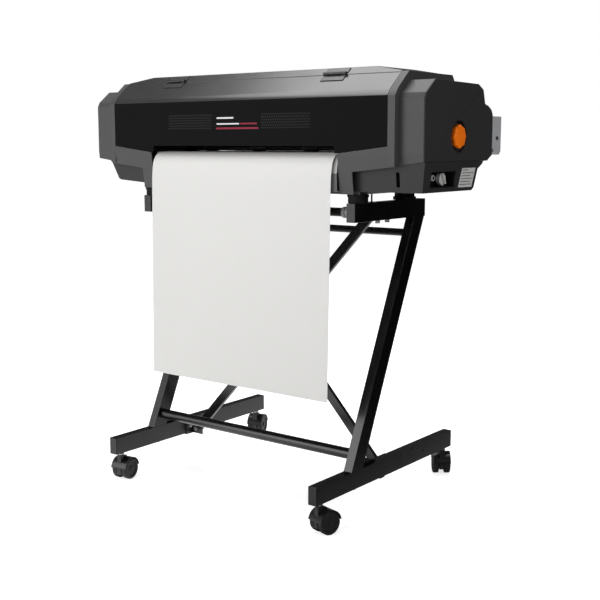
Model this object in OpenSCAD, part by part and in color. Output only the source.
// Roll-fed printer and cutter on a castored stand.
// Millimetres, +Z up, +Y to the rear, front towards -Y. The floor is z = 0.

/* [Overall] */
// Length of the printer body from end to end
body_len = 1100; // [1000:10:1400]
// Height of the body's underside above the floor
body_z = 820; // [690:5:1000]
// Width of the media the machine takes
media_w = 610; // [480:5:620]
// Length of a foot tube with its end caps
foot_len = 651.4; // [540:0.2:800]

/* [Stand] */
// Width of the stand's flat tubes
tube_w = 25.5; // [20:0.5:32]
// Depth of the stand's flat tubes
tube_d = 46.5; // [38:0.5:56]
// Wall of the stand's flat tubes
tube_wall = 2; // [1.5:0.1:3]
// Underside of the foot tubes above the floor
foot_z = 80; // [75:1:100]
// Front edge of the leg where it meets the foot
leg_y0 = -177; // [-200:1:-150]
// Front edge of the leg where it meets the arm
leg_y1 = 103.5; // [80:0.5:120]
// Depth of the leg measured along the foot
leg_d = 50; // [40:1:60]
// Length of the arm tubes that carry the body
arm_len = 330; // [300:5:400]
// Radius of the lower cross tube
lower_bar_r = 14; // [10:0.5:18]
// Radius of the upper front bar
front_bar_r = 11; // [8:0.5:14]
// Radius of the upper rear bar
rear_bar_r = 10; // [8:0.5:13]
// Width of a brace tube
brace_w = 25; // [18:1:32]
// Thickness of a brace tube
brace_t = 12; // [8:1:13]
// Radius of the fixing holes in the feet
foot_hole_r = 3; // [2:0.25:4]

/* [Casters] */
// Radius of a caster wheel
wheel_r = 30; // [25:1:32]
// Width of one of the two wheels of a caster
wheel_w = 17; // [13:1:20]
// Distance from the swivel axis to the wheel axle
trail = 18; // [12:1:22]
// Radius of the caster stem
stem_r = 5.5; // [4:0.25:7]
// Distance of the casters from the foot's middle
caster_y = 297; // [250:1:360]

/* [Body shell] */
// Wall of the plastic covers
wall = 3; // [2:0.25:4]
// Width of each end cap
cap_w = 70; // [60:1:90]
// Front face of the middle section
front_y = -185; // [-190:1:-182]
// Front face of the end caps
cap_y = -167; // [-170:1:-165]
// Gap between neighbouring covers
seam = 0.6; // [0.3:0.1:1.2]

/* [Print and cut unit] */
// Radius of the feed roller
feed_r = 12.5; // [10:0.5:13]
// Radius of a pinch roller
pinch_r = 8; // [6:0.5:9]
// Thickness of the media
media_t = 0.8; // [0.3:0.1:1]
// Carriage width
carriage_w = 100; // [80:2:120]
// Belt pulley pitch radius
belt_r = 12.5; // [11:0.5:13]
// Cam radius at rest
cam_r0 = 8.6; // [8:0.1:8.7]
// Cam rise over the knob's turn
cam_rise = 5.7; // [3:0.1:5.8]
// Turn of the pressure knob
knob_turn = 120; // [90:5:130]
// Outer radius of the pressure knob
knob_r = 29; // [24:0.5:34]

/* [Roll holder] */
// Radius of a full media roll
roll_r = 50; // [30:1:62]
// Radius of a support roller
support_r = 15; // [10:0.5:18]
// Half the distance between the support rollers
support_dy = 35; // [28:1:38]

/* [Output] */
// Sub-part to show

/* [Hidden] */
$fn = 64;

half = body_len / 2;             // half the body's length
knob_proud = 6;                  // how far the knob stands out of the end
shift_x = knob_proud / 2;        // puts the middle of the whole box at x = 0
web_w = 14;                      // hood plate between a caster's two wheels
wheel_in = web_w / 2 + 1;
wheel_out = wheel_in + wheel_w;
axle_r = 3;
hood_r = wheel_r + 3;
caster_turns = [9, -15, 20, 37]; // how each caster happens to stand
function reach(t) = caster_y + wheel_out * sin(t)
    + (trail + sqrt(hood_r * hood_r - 25)) * cos(t);
caster_reach = max(reach(caster_turns[2]), reach(caster_turns[3]));
shift_y = (caster_reach - foot_len / 2) / 2; // middle of the whole box in y
fit = 0.08;                      // radial clearance of every turning fit
snug = 0.02;                     // radial clearance of every fixed fit

// Stand
stand_in = media_w / 2 + 31;     // inner face of feet, legs and arms
stand_out = stand_in + tube_w;
stand_mid = stand_in + tube_w / 2;
foot_top = foot_z + tube_d;
arm_top = body_z - 21;
arm_z = arm_top - tube_d;
arm_y0 = -172;
arm_y1 = arm_y0 + arm_len;
cap_t = 3;                       // visible part of a tube's end cap
leg_slope = (leg_y1 - leg_y0) / (arm_z - foot_top);
function leg_y(z) = leg_y0 + leg_slope * (z - foot_top);
lower_bar_z = foot_top + 34;
lower_bar_y = leg_y(lower_bar_z) + leg_d / 2;
rear_bar_z = arm_z - 43;
rear_bar_y = leg_y(rear_bar_z) + leg_d / 2;
front_bar_y = -150;
front_bar_z = arm_z + tube_d / 2;
brace_x = stand_in - 15;         // where a brace's centre line ends
brace_z0 = foot_z + 10;
brace_z1 = arm_top - 14;
brace_gap = 1;                   // half the gap between the crossing braces
brace_wall = 1.5;
strap_t = 3;                     // plate of the brace brackets
strap_y = -45;                   // front edge of the brackets on the feet
ear_end = 18;                    // rear edge of the brackets
ear_w = 40;                      // width of the ear that a brace is bolted to

// Body: heights above the underside of the body
bz = body_z;
cap_in = half - cap_w;           // inner end of an end cap
trim_in = cap_in - 20;           // inner edge of the trim beside the cover
trim_gap = 0.3;
slot_in = media_w / 2 + 1;       // half the width of the media slot
leg_in = media_w / 2 + 12;       // inner edge of the fascia's leg
leg_out = leg_in + 40;
tray_x = leg_out + 4;
wing_z = bz + 28;                // top of the chassis' side shelves
frame_l = -(half - 105);
frame_r = half - 92;
frame_t = 3;
frame_y0 = -140;
frame_y1 = 86;
platen_z = bz + 101;
platen_x = media_w / 2 + 25;
skirt_y = 88;                    // the platen ends here, in front of the lower cover
web_z = platen_z + 0.3;          // underside of the media on the platen
feed_y = 12;
feed_z = platen_z - feed_r;
pinch_y = feed_y;
pinch_z = web_z + media_t + 0.3 + pinch_r;
pivot_y = 60;
pivot_z = bz + 160;
pivot_rod_r = 4;
cam_y = -5;
cam_z = bz + 140;
cam_shaft_r = 6;
lug_z = cam_z + 9.3;             // underside of the lift lug over the cam
lug_x = media_w * 0.295;
roller_x = [-0.443, -0.148, 0.148, 0.443];
beam_y0 = 25;
beam_y1 = 75;
beam_z0 = bz + 180;
beam_z1 = bz + 240;
rail_y = 17;
rail_z0 = bz + 202;
rail_z1 = bz + 222;
park_gap = 6.5;                  // between the parked carriage and its end frame
park_x = frame_r - frame_t / 2 - carriage_w / 2 - park_gap;
belt_z = beam_z1 + 16;
belt_y0 = 6;
belt_y1 = 14;
drive_x = -(half - 125);
idler_x = half - 110;

// Hinges of the front cover
slope_a = [-173, bz + 251];
slope_b = [-106, bz + 308];
slope_deg = atan2(slope_b[1] - slope_a[1], slope_b[0] - slope_a[0]);
seam_y = -127;
seam_z = slope_a[1] + (seam_y - slope_a[0]) * tan(slope_deg);
hinge_h = 4.6;                   // height of the hinge axis over the slope
hinge_x = 270;
barrel_r = 4;
pin_r = 1.6;

// Roll holder
bracket_x = half - 50;
roll_y = 250;
roll_z = bz + 192;
support_z = roll_z - sqrt(pow(roll_r + support_r + 0.3, 2) - pow(support_dy, 2));
support_shaft_r = 5;
valve_y = -50.7;                 // drain valve and hose fitting in the end bay
valve_z = bz + 38.5;
valve_r = 15;
port_y = -91;
port_z = bz + 42;
port_r = 4.5;

// Profiles in the YZ plane. Heights are measured from the body's underside.
cap_profile = [[cap_y + 4.6, 60], [cap_y, 99], [cap_y, 227], [cap_y + 6.5, 240],
    [-121, 271], [88, 268], [114, 255], [124, 221], [143, 216], [159, 207],
    [166, 195], [166, 94], [145, 83], [140, 60]];
mid_profile = [[front_y, -60], [front_y, 234], [-173, 251], [-106, 308],
    [68, 308], [80, 292], [100, 265], [124, 221], [143, 216], [159, 207],
    [166, 195], [166, -60]];
trim_profile = [[front_y, -60], [front_y, 234], [-173, 251], [-125, 292],
    [80, 292], [100, 265], [124, 221], [143, 216], [159, 207], [166, 195],
    [166, -60]];
skirt_profile = [[105, 101], [150, 101], [161, 97], [166, 88], [163, 80],
    [145, 76], [114, 66], [96, 56], [91, 6], [skirt_y + 0.2, 6],
    [skirt_y + 0.2, 101]];
low_profile = [[-165, 90], [-157, 8], [80, 8], [89, 15], [96, 61], [114, 72],
    [130, 90]];

module along_x(x0, x1) {
    translate([x0, 0, 0]) rotate([90, 0, 90]) linear_extrude(x1 - x0) children();
}
module along_y(y0, y1) {
    translate([0, y1, 0]) rotate([90, 0, 0]) linear_extrude(y1 - y0) children();
}
module box(x0, x1, y0, y1, z0, z1) {
    translate([x0, y0, z0]) cube([x1 - x0, y1 - y0, z1 - z0]);
}
module rod_x(x0, x1, y, z, r) {
    translate([x0, y, z]) rotate([0, 90, 0]) cylinder(h = x1 - x0, r = r);
}
module rod_y(x, y0, y1, z, r) {
    translate([x, y0, z]) rotate([-90, 0, 0]) cylinder(h = y1 - y0, r = r);
}
module rod_z(x, y, z0, z1, r) {
    translate([x, y, z0]) cylinder(h = z1 - z0, r = r);
}
module place() {
    translate([-shift_x, -shift_y, 0]) children();
}
module both() {
    children();
    mirror([1, 0, 0]) children();
}

// ---- Stand -----------------------------------------------------------

module foot_shape() {
    difference() {
        union() {
            difference() {
                box(stand_in, stand_out, -foot_len / 2 + cap_t,
                    foot_len / 2 - cap_t, foot_z, foot_top);
                box(stand_in + tube_wall, stand_out - tube_wall, -foot_len,
                    foot_len, foot_z + tube_wall, foot_top - tube_wall);
            }
            for (y = [-caster_y, caster_y])
                rod_z(stand_mid, y, foot_z + 0.5, foot_z + 30, stem_r + 3.5);
            // gusset behind the leg
            along_x(stand_mid - 2, stand_mid + 2)
                polygon([[leg_y(foot_top) + leg_d, foot_top - 0.5],
                    [leg_y(foot_top + 26) + leg_d, foot_top + 26],
                    [leg_y0 + leg_d + 78, foot_top],
                    [leg_y0 + leg_d + 78, foot_top - 0.5]]);
        }
        for (y = [-caster_y, caster_y])
            rod_z(stand_mid, y, foot_z - 1, foot_z + 27, stem_r + fit);
        rod_x(stand_out - tube_wall - 1, stand_out + 1, foot_len * 0.261,
              foot_z + tube_d / 2, foot_hole_r);
    }
}
module right_foot() { place() color([0.1, 0.1, 0.1]) foot_shape(); }
module left_foot() {
    place() color([0.1, 0.1, 0.1]) mirror([1, 0, 0]) foot_shape();
}

// The leg leans back and carries the arm welded to its top.
module leg_shape() {
    in_y = tube_wall * sqrt(1 + leg_slope * leg_slope);
    difference() {
        along_x(stand_in, stand_out)
            polygon([[leg_y0, foot_top], [leg_y1, arm_z],
                [leg_y1 + leg_d, arm_z], [leg_y0 + leg_d, foot_top]]);
        along_x(stand_in + tube_wall, stand_out - tube_wall)
            polygon([[leg_y0 + in_y, foot_top - 0.01],
                [leg_y1 + in_y, arm_z - 0.5],
                [leg_y1 + leg_d - in_y, arm_z - 0.5],
                [leg_y0 + leg_d - in_y, foot_top - 0.01]]);
    }
    difference() {
        box(stand_in, stand_out, arm_y0 + cap_t, arm_y1 - cap_t, arm_z, arm_top);
        box(stand_in + tube_wall, stand_out - tube_wall, arm_y0, arm_y1,
            arm_z + tube_wall, arm_top - tube_wall);
    }
}
module right_leg() { place() color([0.1, 0.1, 0.1]) leg_shape(); }
module left_leg() {
    place() color([0.1, 0.1, 0.1]) mirror([1, 0, 0]) leg_shape();
}

// One end cap: a plate as large as the tube and a plug inside it.
module cap_shape(y, dir, z0) {
    y_in = y - dir * cap_t;
    y_plug = y_in - dir * 14;
    box(stand_in, stand_out, min(y, y_in), max(y, y_in), z0, z0 + tube_d);
    difference() {
        box(stand_in + tube_wall, stand_out - tube_wall,
            min(y_in, y_plug), max(y_in, y_plug),
            z0 + tube_wall, z0 + tube_d - tube_wall);
        box(stand_in + tube_wall + 2, stand_out - tube_wall - 2,
            min(y_in, y_plug - dir), max(y_in, y_plug - dir),
            z0 + tube_wall + 2, z0 + tube_d - tube_wall - 2);
    }
}
module tube_caps() {
    place() color([0.12, 0.12, 0.12]) both() {
        cap_shape(foot_len / 2, 1, foot_z);
        cap_shape(-foot_len / 2, -1, foot_z);
        cap_shape(arm_y1, 1, arm_z);
        cap_shape(arm_y0, -1, arm_z);
    }
}
module bar(r, y, z) {
    difference() {
        rod_x(-stand_in, stand_in, y, z, r);
        rod_x(-stand_in - 1, stand_in + 1, y, z, r - tube_wall);
    }
}
module upper_front_bar() {
    place() color([0.1, 0.1, 0.1]) bar(front_bar_r, front_bar_y, front_bar_z);
}
module upper_rear_bar() {
    place() color([0.1, 0.1, 0.1]) bar(rear_bar_r, rear_bar_y, rear_bar_z);
}
module lower_cross_tube() {
    place() color([0.1, 0.1, 0.1]) bar(lower_bar_r, lower_bar_y, lower_bar_z);
}

// Brace from the foot at x = -brace_x to the arm at x = +brace_x.
brace_len = sqrt(pow(2 * brace_x, 2) + pow(brace_z1 - brace_z0, 2));
brace_deg = atan2(brace_z1 - brace_z0, 2 * brace_x);
brace_end = stand_in - strap_t;   // the brackets' inner faces
module brace_shape(y0, dir) {
    intersection() {
        translate([-dir * brace_x, y0, brace_z0])
            rotate([0, dir > 0 ? -brace_deg : brace_deg - 180, 0])
            difference() {
                translate([-brace_w, 0, -brace_w / 2])
                    cube([brace_len + 2 * brace_w, brace_t, brace_w]);
                translate([-brace_w - 1, brace_wall, brace_wall - brace_w / 2])
                    cube([brace_len + 2 * brace_w + 2,
                        brace_t - 2 * brace_wall, brace_w - 2 * brace_wall]);
            }
        box(-brace_end, brace_end, y0 - 1, y0 + brace_t + 1,
            foot_z - strap_t, arm_top - strap_t);
    }
}
module brace_front() {
    place() color([0.1, 0.1, 0.1]) brace_shape(-brace_gap - brace_t, 1);
}
module brace_rear() {
    place() color([0.1, 0.1, 0.1]) brace_shape(brace_gap, -1);
}

// Angle brackets that bolt the braces to the feet and to the arms.
function ear_y(front) = front ? -brace_gap - brace_t - strap_t : brace_gap + brace_t;
module bracket_low(front) {
    yb = ear_y(front);
    box(stand_in - strap_t, stand_in, strap_y, ear_end, foot_z - strap_t, foot_top);
    box(stand_in - ear_w, stand_in, yb, yb + strap_t, foot_z - strap_t, foot_z + 30);
    // strap under the foot
    box(stand_in - strap_t, stand_out, strap_y, strap_y + 20, foot_z - strap_t, foot_z);
}
module bracket_high(front) {
    yb = ear_y(front);
    box(stand_in - strap_t, stand_in, strap_y - 17, ear_end, arm_z, arm_top - strap_t);
    box(stand_in - ear_w, stand_in, yb, yb + strap_t, arm_z, arm_top - strap_t);
}
module brace_brackets() {
    place() color([0.12, 0.12, 0.12]) {
        bracket_low(false);
        mirror([1, 0, 0]) bracket_low(true);
        bracket_high(true);
        mirror([1, 0, 0]) bracket_high(false);
    }
}

// Hexagon heads: six sides across, on the outside of what they hold.
module head_y(x, y, z, dir) {
    translate([x, y, z]) rotate([-90 * dir, 0, 0]) cylinder(h = 5, r = 7, $fn = 6);
}
module stand_bolts() {
    place() color([0.75, 0.76, 0.78]) {
        for (s = [-1, 1]) {
            yl = s < 0 ? ear_y(true) : ear_y(false) + strap_t;
            yh = s > 0 ? ear_y(true) : ear_y(false) + strap_t;
            head_y(s * (stand_in - 16), yl, foot_z + 12, s < 0 ? -1 : 1);
            head_y(s * (stand_in - 16), yh, arm_top - 15, s > 0 ? -1 : 1);
            for (y = [-52, -8])
                translate([s * stand_mid, y, arm_z - 8])
                    cylinder(h = 8, r = 7, $fn = 6);
            translate([s * stand_mid, leg_y0 + leg_d / 2, foot_z - 5])
                cylinder(h = 5, r = 7, $fn = 6);
            translate([s * (stand_in - strap_t), strap_y + 15, foot_z + tube_d / 2])
                rotate([0, -s * 90, 0]) cylinder(h = 5, r = 6, $fn = 6);
        }
    }
}
module body_pads() {
    place() color([0.12, 0.12, 0.12]) both() {
        translate([stand_mid, -140, arm_top]) {
            cylinder(h = 15, r = 25);
            translate([0, 0, 15]) cylinder(h = body_z - arm_top - 15, r = 27);
        }
        translate([stand_mid, 74, arm_top]) {
            cylinder(h = 8, r = 30);
            translate([0, 0, 8]) cylinder(h = body_z - arm_top - 8, r = 26);
        }
    }
}

// ---- Casters ---------------------------------------------------------

module at_caster(i) {
    sx = i % 2 == 0 ? -1 : 1;
    sy = i < 2 ? -1 : 1;
    translate([sx * stand_mid, sy * caster_y, 0])
        rotate([0, 0, caster_turns[i]]) children();
}
module hood_shape() {
    difference() {
        union() {
            // plate between the wheels
            intersection() {
                rod_x(-web_w / 2, web_w / 2, trail, wheel_r, wheel_r);
                box(-web_w, web_w, trail - 60, trail + 60, wheel_r - 14, 80);
            }
            box(-web_w / 2, web_w / 2, -9, trail, wheel_r + 4, wheel_r + 38);
            rod_z(0, 0, wheel_r + 31, foot_z - 6, 9);
            // curved hood over both wheels
            intersection() {
                difference() {
                    rod_x(-wheel_out, wheel_out, trail, wheel_r, hood_r);
                    rod_x(-wheel_out - 1, -web_w / 2, trail, wheel_r, wheel_r + 1);
                    rod_x(web_w / 2, wheel_out + 1, trail, wheel_r, wheel_r + 1);
                }
                box(-40, 40, trail - 60, trail + 60, wheel_r + 5, 80);
            }
            rod_z(0, 0, wheel_r + 30, foot_z + 26, stem_r);
            rod_z(0, 0, foot_z - 3.5, foot_z - 0.5, stem_r + 3.5);
        }
        rod_x(-web_w, web_w, trail, wheel_r, axle_r + fit);
    }
}
module wheel_shape() {
    for (s = [-1, 1]) scale([s, 1, 1])
        translate([wheel_in, trail, wheel_r]) rotate([0, 90, 0])
            rotate_extrude()
            polygon([[0, 0], [wheel_r - 2, 0], [wheel_r, 2],
                [wheel_r, wheel_w - 3], [wheel_r - 3, wheel_w],
                [wheel_r - 8, wheel_w], [wheel_r - 9, wheel_w - 3],
                [8, wheel_w - 3], [7, wheel_w], [0, wheel_w]]);
    rod_x(-wheel_in - 1, wheel_in + 1, trail, wheel_r, axle_r);
}
module caster_fl_hood() { place() color([0.08, 0.08, 0.08]) at_caster(0) hood_shape(); }
module caster_fr_hood() { place() color([0.08, 0.08, 0.08]) at_caster(1) hood_shape(); }
module caster_rl_hood() { place() color([0.08, 0.08, 0.08]) at_caster(2) hood_shape(); }
module caster_rr_hood() { place() color([0.08, 0.08, 0.08]) at_caster(3) hood_shape(); }
module caster_fl_wheels() { place() color([0.1, 0.1, 0.1]) at_caster(0) wheel_shape(); }
module caster_fr_wheels() { place() color([0.1, 0.1, 0.1]) at_caster(1) wheel_shape(); }
module caster_rl_wheels() { place() color([0.1, 0.1, 0.1]) at_caster(2) wheel_shape(); }
module caster_rr_wheels() { place() color([0.1, 0.1, 0.1]) at_caster(3) wheel_shape(); }

// ---- Chassis inside the body -----------------------------------------

module base_tray() {
    place() color([0.45, 0.45, 0.46]) {
        difference() {
            box(-tray_x, tray_x, -150, frame_y1, bz, bz + 28);
            box(-tray_x + 3, tray_x - 3, -147, frame_y1 - 3, bz + 3, bz + 29);
        }
        box(-(half - 100), -tray_x + 0.5, -150, frame_y1, wing_z - 3, wing_z);
        box(tray_x - 0.5, half - 85, -150, frame_y1, wing_z - 3, wing_z);
    }
}
module frame_plate(x) {
    difference() {
        box(x - frame_t / 2, x + frame_t / 2, frame_y0, frame_y1, wing_z, bz + 255);
        rod_x(x - 3, x + 3, feed_y, feed_z, 5 + fit);
        rod_x(x - 3, x + 3, cam_y, cam_z, cam_shaft_r + fit);
        // corner cut to follow the sloping front
        along_x(x - 3, x + 3) polygon([[frame_y0 - 1, bz + 220],
            [frame_y0 - 1, bz + 256], [frame_y0 + 40, bz + 256]]);
    }
}
module side_frames() {
    place() color([0.6, 0.6, 0.62]) {
        frame_plate(frame_l);
        frame_plate(frame_r);
        rod_x(frame_l, frame_r, pivot_y, pivot_z, pivot_rod_r);
    }
}
module rail_beam() {
    place() color([0.7, 0.7, 0.72]) {
        difference() {
            box(frame_l + 1.5, frame_r - 1.5, beam_y0, beam_y1, beam_z0, beam_z1);
            box(frame_l, frame_r, beam_y0 + 3, beam_y1 - 3, beam_z0 + 3, beam_z1 - 3);
        }
        box(frame_l + 1.5, frame_r - 1.5, rail_y, beam_y0 + 0.5, rail_z0, rail_z1);
        difference() {
            box(idler_x - 10, idler_x + 10, beam_y0, beam_y0 + 16,
                beam_z1 - 0.5, belt_z + 12);
            rod_y(idler_x, beam_y0 - 1, beam_y0 + 17, belt_z, 3 + fit);
        }
    }
}
module platen() {
    rib_x = platen_x - 4;
    place() color([0.62, 0.62, 0.64]) {
        difference() {
            union() {
                box(-platen_x, platen_x, -150, -2, platen_z - 6, platen_z);
                box(-platen_x, platen_x, 26, skirt_y, platen_z - 6, platen_z);
                for (x = [-rib_x, -rib_x / 3, rib_x / 3 - 4, rib_x - 4])
                    for (y = [[-146, -30], [40, 82]])
                        box(x, x + 4, y[0], y[1], bz + 3, platen_z - 5);
            }
            // shallow vacuum grooves along the front plate
            for (y = [-120, -96, -72, -48])
                box(-platen_x + 30, platen_x - 30, y, y + 2, platen_z - 1, platen_z + 1);
        }
    }
}
module exit_guide() {
    place() color([0.72, 0.72, 0.72]) along_x(-leg_in + 3, leg_in - 3)
        translate([0, bz]) polygon([[-150.2, 101], [-160, 99], [-170, 92],
            [-177.5, 80], [-181.5, 65], [-183, 51], [-180, 51],
            [-178.5, 65.5], [-174.7, 78.5], [-168, 89.4], [-159, 96],
            [-150.2, 98]]);
}
module lower_apron() {
    place() color([0.4, 0.4, 0.41]) {
        box(-leg_in + 3, leg_in - 3, -183, -180, bz + 7, bz + 50.6);
        box(-leg_in + 3, leg_in - 3, -183, -150.2, bz + 7, bz + 10);
    }
}

// ---- Covers ----------------------------------------------------------

module lift() { translate([0, bz]) children(); }
// Outline of an end cap with its moulded corners, t inside the outer face.
module cap_outline(t) {
    offset(delta = -t) offset(r = 5, $fn = 32) offset(delta = -5)
        polygon(cap_profile);
}

// End cap shell with its slanted underside, right-hand side.
module cap_shell(x_end) {
    difference() {
        intersection() {
            along_x(cap_in, x_end) lift() cap_outline(0);
            along_y(-300, 300) lift() polygon([[cap_in, 400], [half, 400],
                [half, 81], [cap_in, 72]]);
        }
        intersection() {
            along_x(cap_in - 1, x_end - (x_end < half ? -1 : wall))
                lift() cap_outline(wall);
            along_y(-300, 300) lift() polygon([[cap_in - 1, 400],
                [half + 1, 400], [half + 1, 84.2], [cap_in - 1, 75]]);
        }
    }
}
// Raised trim beside the front cover and the L-shaped fascia under it.
module trim_shell() {
    difference() {
        along_x(trim_in + trim_gap, cap_in) lift() polygon(trim_profile);
        along_x(trim_in - 1, cap_in - wall) lift()
            offset(delta = -wall) polygon(trim_profile);
        along_x(cap_in - wall - 1, cap_in + 1) lift() cap_outline(wall);
        box(trim_in - 2, cap_in + 1, -160, 300, bz - 70, bz + 83);
        box(trim_in - 2, cap_in + 1, -300, -159, bz - 70, bz + 72);
    }
    intersection() {
        along_x(leg_in, cap_in) lift() polygon([[front_y, 120], [front_y, 97],
            [front_y + 12, 1], [front_y + 12 + wall, 1],
            [front_y + wall, 97], [front_y + wall, 120]]);
        along_y(-300, 0) lift() polygon([[cap_in, 116.2],
            [trim_in + trim_gap, 116.2], [leg_in, 99], [leg_in, 1],
            [leg_out, 1], [leg_out, 55.5], [cap_in, 69]]);
    }
}
module left_cover() {
    place() color([0.35, 0.35, 0.36]) mirror([1, 0, 0]) {
        cap_shell(half);
        trim_shell();
    }
}
module right_cover() {
    place() color([0.35, 0.35, 0.36]) {
        cap_shell(half - wall);
        trim_shell();
    }
}

// End plate of the right end cap with a round cup for the knob.
cup_r = knob_r + 9.5;
module right_side_panel() {
    place() color([0.2, 0.2, 0.21]) difference() {
        union() {
            intersection() {
                along_x(half - wall, half) lift() cap_outline(0);
                along_y(-300, 300) lift() polygon([[cap_in, 400],
                    [half + 1, 400], [half + 1, 81], [cap_in, 72]]);
            }
            rod_x(half - 16, half - 1, cam_y, cam_z, cup_r + 2);
        }
        rod_x(half - 14, half + 1, cam_y, cam_z, cup_r);
        rod_x(half - 20, half, cam_y, cam_z, cam_shaft_r + 1.5);
    }
}

// Lower covers: set back under the fascia; x_out lists the outer edge.
module low_shell(outer, inner) {
    difference() {
        intersection() {
            along_x(leg_in + 25, half + 1) lift() polygon(low_profile);
            along_y(-300, 300) lift() polygon(outer);
        }
        intersection() {
            along_x(leg_in + 20, half + 1) lift() offset(delta = -wall)
                polygon(concat([[-166, 120]], [for (i = [1:6]) low_profile[i]],
                    [[130, 120]]));
            along_y(-300, 300) lift() polygon(inner);
        }
        // room for the middle of the chassis and for the rear cover
        box(0, tray_x + 1, -151.5, 300, bz - 10, bz + 200);
        box(0, trim_in + 0.5, 80, 300, bz - 10, bz + 200);
    }
}
module right_lower_cover() {
    place() color([0.27, 0.27, 0.28]) difference() {
        low_shell([[leg_in + 25, 79], [cap_in, 71.4], [half, 80.2],
            [half, 77], [half - 10, 8], [leg_in + 25, 8]],
            [[leg_in, 200], [half - 3, 200], [half - 3, 77],
             [half - 13, 11], [leg_in, 11]]);
        box(half - 30, half + 10, -127, -12, bz + 19, bz + 57);
        // switch opening in the front
        box(half - 80, half - 70, -170, -150, bz + 21, bz + 56);
    }
}
module left_lower_cover() {
    place() color([0.27, 0.27, 0.28]) mirror([1, 0, 0])
        low_shell([[leg_in + 25, 79], [cap_in, 71.4], [half - 49, 73.8],
            [half - 73, 24], [half - 82, 20], [tray_x + 4, 13],
            [leg_in + 25, 13]],
            [[leg_in, 200], [half - 52.5, 200], [half - 52.5, 74],
             [half - 75.3, 26.8], [half - 83.2, 23.1], [tray_x + 4, 16],
             [leg_in, 16]]);
}

// Middle section: outside and inside of its shell, crowned along its length.
module mid_solid(t) {
    intersection() {
        along_x(-trim_in - t, trim_in + t) lift()
            offset(delta = -t) polygon(mid_profile);
        along_y(-300, 300) lift() polygon([[-trim_in - t, -100],
            [-trim_in - t, 294 - t], [-trim_in + 80, 308 - t],
            [trim_in - 80, 308 - t], [trim_in + t, 294 - t],
            [trim_in + t, -100]]);
    }
}
module mid_shell() {
    difference() {
        mid_solid(0);
        mid_solid(wall);
    }
}
module top_cover() {
    place() color([0.45, 0.45, 0.46]) intersection() {
        mid_shell();
        box(-half, half, seam_y + seam, 80, bz + 150, bz + 400);
    }
}
module rear_cover() {
    place() color([0.3, 0.3, 0.31]) difference() {
        intersection() {
            mid_shell();
            box(-half, half, 80.2, 300, bz + 102, bz + 400);
        }
        box(-slot_in - 14, slot_in + 14, 100, 300, bz, bz + 145);
    }
}
module rear_lower_cover() {
    place() color([0.27, 0.27, 0.28])
        along_x(-trim_in + 0.2, trim_in - 0.2) lift() difference() {
            polygon(skirt_profile);
            offset(delta = -wall) polygon(skirt_profile);
        }
}

// Black front of the hinged cover, with stepped corners beside the slot.
module front_panel() {
    place() color([0.06, 0.06, 0.065]) intersection() {
        mid_shell();
        box(-half, half, -300, -180, bz, bz + 234);
        along_y(-300, 0) lift() polygon([[-trim_in, 300], [-trim_in, 117],
            [-leg_in, 100], [-slot_in - 4, 100], [-slot_in, 117],
            [slot_in, 117], [slot_in + 4, 100], [leg_in, 100],
            [trim_in, 117], [trim_in, 300]]);
    }
}
module cover_slope() {
    place() color([0.42, 0.42, 0.43]) {
        intersection() {
            mid_shell();
            box(-half, half, -300, seam_y - seam, bz + 234, bz + 400);
        }
        // returns that stiffen the ends of the cover
        for (s = [-1, 1]) intersection() {
            difference() {
                mid_solid(wall - 0.2);
                mid_solid(10);
                box(-trim_in + 12, trim_in - 12, -300, 300, bz, bz + 500);
            }
            box(min(s * (trim_in - 3), s * trim_in),
                max(s * (trim_in - 3), s * trim_in),
                -300, seam_y - seam, bz + 234, bz + 400);
        }
    }
}

// Hinge parts are drawn flat: u up the slope, w out of it.
module on_slope(x) {
    translate([x, seam_y, seam_z]) rotate([slope_deg, 0, 0]) children();
}
module hinge_mounts() {
    place() color([0.08, 0.08, 0.08]) for (s = [-1, 1]) on_slope(s * hinge_x) {
        difference() {
            union() {
                box(-34, 34, 6, 24, snug, 2);
                box(-20, 20, 1.5, 7, snug, 2);
                box(-20, 20, 1.5, 4, snug, hinge_h);
                rod_x(-20, 20, 0, hinge_h, barrel_r);
            }
            rod_x(-36, 36, 0, hinge_h, pin_r + snug);
        }
        rod_x(-34, 34, 0, hinge_h, pin_r);
    }
}
module hinge_leaves() {
    place() color([0.08, 0.08, 0.08]) for (s = [-1, 1]) on_slope(s * hinge_x)
        difference() {
            union() {
                box(-34, 34, -24, -6, snug, 2);
                for (x = [-34, 20.3]) {
                    box(x, x + 13.7, -7, -1.5, snug, 2);
                    box(x, x + 13.7, -4, -1.5, snug, hinge_h);
                    rod_x(x, x + 13.7, 0, hinge_h, barrel_r);
                }
            }
            rod_x(-36, 36, 0, hinge_h, pin_r + fit);
        }
}

// Recess for the drain valve in the right end.
module port_bay() {
    place() color([0.05, 0.05, 0.05]) {
        difference() {
            box(half - 40, half - 8.6, -126.9, -12.1, bz + 19.1, bz + 56.9);
            box(half - 38, half, -124.9, -14.1, bz + 21.1, bz + 54.9);
            rod_x(half - 45, half - 30, valve_y, valve_z, 4 + fit);
        }
        difference() {
            rod_x(half - 38.5, half - 20, port_y, port_z, port_r + 2.5);
            rod_x(half - 36, half - 19, port_y, port_z, port_r);
        }
    }
}
module valve_knob() {
    place() color([0.76, 0.76, 0.75]) {
        rod_x(half - 46, half - 28, valve_y, valve_z, 4);
        rod_x(half - 28.2, half - 18, valve_y, valve_z, valve_r);
        translate([half - 18.2, valve_y, valve_z]) rotate([30, 0, 0])
            translate([0, -2.5, -12]) cube([6, 5, 24]);
    }
}

// ---- Print and cut unit ----------------------------------------------

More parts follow.
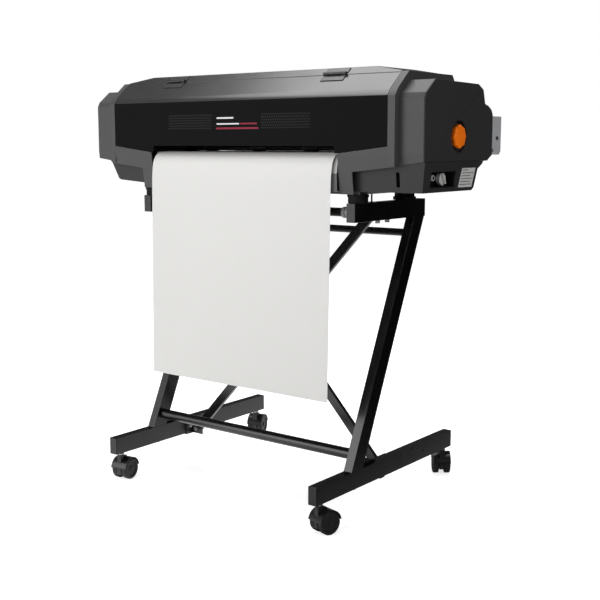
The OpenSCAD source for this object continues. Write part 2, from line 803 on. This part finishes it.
module stadium(r) {
    translate([drive_x, belt_z]) circle(r);
    translate([idler_x, belt_z]) circle(r);
    translate([drive_x, belt_z - r]) square([idler_x - drive_x, 2 * r]);
}
module timing_belt() {
    place() color([0.08, 0.08, 0.08]) along_y(belt_y0, belt_y1) difference() {
        stadium(belt_r + 0.8);
        stadium(belt_r - 0.8);
    }
}
module pulley(x, y_end, r_shaft) {
    rod_y(x, belt_y0 - 0.2, belt_y1 + 0.2, belt_z, belt_r - 1.1);
    rod_y(x, belt_y0 - 1, belt_y0 - 0.2, belt_z, belt_r + 2);
    rod_y(x, belt_y1 + 0.2, belt_y1 + 1, belt_z, belt_r + 2);
    rod_y(x, belt_y0, y_end, belt_z, r_shaft);
}
module drive_pulley() {
    place() color([0.75, 0.75, 0.76]) pulley(drive_x, beam_y0 + 20, 2.5);
}
module idler_pulley() {
    place() color([0.75, 0.75, 0.76]) pulley(idler_x, beam_y0 + 15, 3);
}
module drive_motors() {
    place() color([0.25, 0.25, 0.26]) {
        difference() {
            box(drive_x - 16, drive_x + 16, beam_y0, beam_y0 + 42, beam_z1, beam_z1 + 32);
            rod_y(drive_x, beam_y0 - 1, beam_y0 + 24, belt_z, 2.5 + fit);
        }
        difference() {
            rod_x(frame_l - 30, frame_l - 1.5, feed_y, feed_z, 20);
            rod_x(frame_l - 27, frame_l, feed_y, feed_z, 5 + fit);
        }
    }
}
module capping_station() {
    place() color([0.3, 0.3, 0.32]) {
        box(park_x - 48, park_x + 16, -115, -35, wing_z, platen_z + 1);
        difference() {
            box(park_x - 36, park_x + 4, -98, -50, platen_z, bz + 104);
            box(park_x - 33, park_x + 1, -95, -53, bz + 102, bz + 105);
        }
    }
}
module electronics() {
    place() color([0.15, 0.3, 0.2]) {
        box(frame_l + 8, -platen_x - 12, -125, -12, wing_z, wing_z + 40);
        box(platen_x + 14, frame_r - 10, 32, 80, wing_z, wing_z + 50);
    }
}
module carriage() {
    cw = carriage_w / 2;
    place() color([0.2, 0.2, 0.21]) translate([park_x, 0, 0]) {
        difference() {
            union() {
                box(-cw + 2, cw - 2, -110, -27, bz + 112, bz + 170);
                box(-cw, cw, -110, rail_y - 0.1, bz + 168, bz + 240);
                // jaws above and below the rail
                box(-cw + 10, cw - 10, rail_y - 1, beam_y0 - 0.5,
                    rail_z1 + 0.1, rail_z1 + 12);
                box(-cw + 10, cw - 10, rail_y - 1, beam_y0 - 0.5,
                    rail_z0 - 10, rail_z0 - 0.1);
                // belt clamp
                box(-10, 10, belt_y0 + 1, belt_y1, bz + 239, bz + 241.7);
            }
            box(-cw + 10, 8, -102, -45, bz + 111, bz + 236);
            rod_z(28, -75, bz + 111, bz + 241, 6 + fit);
        }
    }
}
module print_head() {
    cw = carriage_w / 2;
    place() color([0.12, 0.12, 0.12]) translate([park_x, 0, 0]) {
        box(-cw + 10, 8, -101, -46, bz + 114, bz + 155);
        box(-cw + 14, 4, -97, -51, bz + 108.5, bz + 114.5);
        // ink cartridges standing on the head
        for (i = [0:3])
            box(-cw + 10.5 + i * (cw - 2) / 4, -cw + 10.5 + (i + 0.92) * (cw - 2) / 4,
                -99, -48, bz + 154.5, bz + 226);
    }
}
module cutter_pen() {
    place() color([0.3, 0.45, 0.7]) translate([park_x, 0, 0]) {
        rod_z(28, -75, bz + 111, bz + 190, 6);
        translate([28, -75, bz + 104.8]) cylinder(h = 6.3, r1 = 0.6, r2 = 6);
    }
}
module feed_roller() {
    place() color([0.7, 0.7, 0.7]) {
        rod_x(-platen_x + 12, platen_x - 12, feed_y, feed_z, feed_r);
        rod_x(frame_l - 24, frame_r + 6, feed_y, feed_z, 5);
    }
}
arm_dy = pinch_y - pivot_y;
arm_dz = pinch_z - pivot_z;
arm_d = sqrt(arm_dy * arm_dy + arm_dz * arm_dz);
module pinch_arms() {
    place() color([0.25, 0.25, 0.26]) difference() {
        union() {
            rod_x(roller_x[0] * media_w - 28, roller_x[3] * media_w + 28,
                  pivot_y, pivot_z, 8);
            for (f = roller_x) for (s = [-25, 21]) {
                x = f * media_w + s;
                rod_x(x, x + 4, pinch_y, pinch_z, 7);
                translate([x, pivot_y, pivot_z])
                    rotate([atan2(arm_dz, arm_dy), 0, 0])
                    translate([0, 0, -6]) cube([4, arm_d, 12]);
            }
            // lift lugs over the cams
            for (s = [-1, 1])
                box(s * lug_x - 4, s * lug_x + 4, -20, pivot_y, lug_z, lug_z + 8.7);
        }
        rod_x(-half, half, pivot_y, pivot_z, pivot_rod_r + fit);
        rod_x(-half, half, pinch_y, pinch_z, 3 + fit);
    }
}
module pinch_rollers() {
    place() color([0.1, 0.1, 0.1]) {
        for (f = roller_x)
            rod_x(f * media_w - 20.5, f * media_w + 20.5, pinch_y, pinch_z, pinch_r);
        rod_x(roller_x[0] * media_w - 27, roller_x[3] * media_w + 27,
              pinch_y, pinch_z, 3);
    }
}
// Spiral cam: its radius grows evenly over the knob's turn.
function cam_r(a) = cam_r0 + cam_rise * min(max(a, 0), knob_turn) / knob_turn;
module cam_shaft() {
    place() color([0.6, 0.6, 0.62]) {
        rod_x(frame_l - 4, half - 4, cam_y, cam_z, cam_shaft_r);
        for (s = [-1, 1])
            translate([s * lug_x - 6, cam_y, cam_z]) rotate([90, 0, 90])
                linear_extrude(12) polygon(concat(
                    [for (a = [-180:20:-20]) cam_r0 * [cos(90 - a), sin(90 - a)]],
                    [for (a = [0:10:knob_turn + 30])
                        cam_r(a) * [cos(90 - a), sin(90 - a)]]));
    }
}
module pressure_knob() {
    place() color([0.92, 0.4, 0.05]) difference() {
        union() {
            rod_x(half - 11, half + 4, cam_y, cam_z, knob_r - 5);
            rod_x(half - 11, half + knob_proud, cam_y, cam_z, knob_r - 11);
            for (a = [0:45:315]) rod_x(half - 11, half + 3,
                cam_y + (knob_r - 5) * cos(a), cam_z + (knob_r - 5) * sin(a), 5);
        }
        rod_x(half - 12, half - 3.9, cam_y, cam_z, cam_shaft_r + snug);
    }
}

// ---- Media and roll holder -------------------------------------------

// The web leaves the front of the roll and is tangent to it.
web_y = 155;
to_roll = [roll_y - web_y, roll_z - platen_z - 1];
roll_off = roll_r + 0.6;
roll_dist = sqrt(to_roll[0] * to_roll[0] + to_roll[1] * to_roll[1]);
web_deg = atan2(to_roll[1], to_roll[0]) + asin(roll_off / roll_dist);
web_run = sqrt(roll_dist * roll_dist - roll_off * roll_off);
web_top = [web_y + web_run * cos(web_deg), platen_z + 1 + web_run * sin(web_deg)];
module media_web() {
    place() color([0.9, 0.9, 0.88]) along_x(-media_w / 2, media_w / 2) {
        // over the platen, round the guide and down in front
        polygon([[146, web_z], [-150, web_z], [-163, web_z - 2], [-173, bz + 92],
            [-182, bz + 80], [-187, bz + 65], [-190, bz + 51], [-194, bz + 13],
            [-196, bz - 80], [-206, 304], [-206 - media_t, 304],
            [-196 - media_t, bz - 80], [-194 - media_t, bz + 13],
            [-190 - media_t, bz + 51.1], [-187 - media_t, bz + 65.2],
            [-182.7, bz + 80.4], [-173.6, bz + 92.6],
            [-163.2, web_z + media_t - 2], [-150, web_z + media_t],
            [146, web_z + media_t]]);
        // from the rear guide up to the roll
        polygon([[145.9, web_z], [151, web_z + 0.6], [web_y, web_z + 3],
            [web_top[0], web_top[1]],
            [web_top[0] - media_t * sin(web_deg) * 0.9, web_top[1] + media_t * cos(web_deg)],
            [web_y - 0.9, web_z + 3.4], [150.6, web_z + 1.4],
            [145.9, web_z + media_t]]);
    }
}
module media_roll() {
    place() color([0.9, 0.9, 0.88]) difference() {
        rod_x(-media_w / 2, media_w / 2, roll_y, roll_z, roll_r);
        rod_x(-half, half, roll_y, roll_z, 25.4);
    }
}
module support_roller(y) {
    rod_x(-bracket_x + 5, bracket_x - 5, y, support_z, support_r);
    rod_x(-bracket_x - 4, bracket_x + 4, y, support_z, support_shaft_r);
}
module support_roller_front() {
    place() color([0.3, 0.3, 0.31]) support_roller(roll_y - support_dy);
}
module support_roller_rear() {
    place() color([0.3, 0.3, 0.31]) support_roller(roll_y + support_dy);
}
module roll_brackets() {
    place() color([0.72, 0.74, 0.76]) both() difference() {
        union() {
            along_x(bracket_x - 1.5, bracket_x + 1.5)
                polygon([[166.2, bz + 94], [300, bz + 94], [309, bz + 103],
                    [309, bz + 194], [166.2, bz + 194]]);
            box(bracket_x - 22, bracket_x, 166.2, 169.2, bz + 94, bz + 194);
            box(bracket_x - 14, bracket_x, 166.2, 300, bz + 94, bz + 96);
        }
        for (y = [roll_y - support_dy, roll_y + support_dy])
            rod_x(bracket_x - 5, bracket_x + 5, y, support_z, support_shaft_r + fit);
        for (y = [184, 295]) rod_x(bracket_x - 5, bracket_x + 5, y, bz + 112, 2.5);
        for (z = [bz + 104, bz + 184])
            rod_y(bracket_x - 12, 160, 175, z, 3);
    }
}

left_foot();
right_foot();
left_leg();
right_leg();
tube_caps();
upper_front_bar();
upper_rear_bar();
lower_cross_tube();
brace_front();
brace_rear();
brace_brackets();
stand_bolts();
body_pads();
caster_fl_hood();
caster_fr_hood();
caster_rl_hood();
caster_rr_hood();
caster_fl_wheels();
caster_fr_wheels();
caster_rl_wheels();
caster_rr_wheels();
base_tray();
side_frames();
rail_beam();
platen();
exit_guide();
lower_apron();
left_cover();
right_cover();
right_side_panel();
left_lower_cover();
right_lower_cover();
top_cover();
rear_cover();
rear_lower_cover();
port_bay();
hinge_mounts();
timing_belt();
drive_motors();
capping_station();
electronics();
roll_brackets();
media_web();
front_panel();
cover_slope();
hinge_leaves();
carriage();
print_head();
cutter_pen();
drive_pulley();
idler_pulley();
feed_roller();
pinch_arms();
pinch_rollers();
pressure_knob();
cam_shaft();
media_roll();
support_roller_front();
support_roller_rear();
valve_knob();
